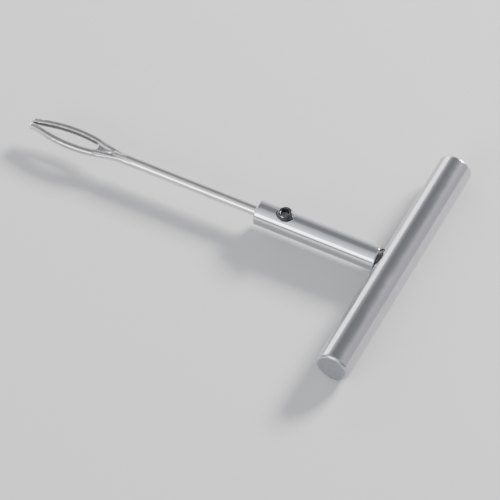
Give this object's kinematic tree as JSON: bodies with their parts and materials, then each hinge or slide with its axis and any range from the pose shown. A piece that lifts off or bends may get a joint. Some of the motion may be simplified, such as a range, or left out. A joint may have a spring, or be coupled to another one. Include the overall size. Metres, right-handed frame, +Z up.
{
  "type": "tyre plug insertion tool",
  "caption": "T-handled tool with a chromed crossbar, a set-screw shank and a slit-eye needle that pushes a sealing string into a tyre puncture.",
  "frame": {"origin": "where the crossbar's axis crosses the shank's axis, at the middle of the crossbar", "axes": "+X along the shank and needle towards the eye, +Y along the crossbar, +Z up through the set screw; the eye lies flat in XY"},
  "size_m": [0.1325, 0.086, 0.011],
  "materials": {
    "bar_chrome": "satin chrome plate over a turned bar",
    "shank_chrome": "bright chrome plate",
    "black_oxide": "black oxide, lightly oiled",
    "needle_steel": "bright nickel-plated spring steel with forging marks at the eye"
  },
  "bodies": {
    "handle": {"crossbar": "bar_chrome", "shank": "shank_chrome"},
    "set_screw": {"set_screw": "black_oxide"},
    "needle": {"needle": "needle_steel"}
  },
  "joints": [
    {"name": "set_screw_travel", "type": "slide", "parent": "handle", "child": "set_screw", "axis": [0, 0, 1], "range_m": [0, 0.0024]},
    {"name": "needle_slide", "type": "slide", "parent": "handle", "child": "needle", "axis": [1, 0, 0], "range_m": [0, 0.025]}
  ]
}
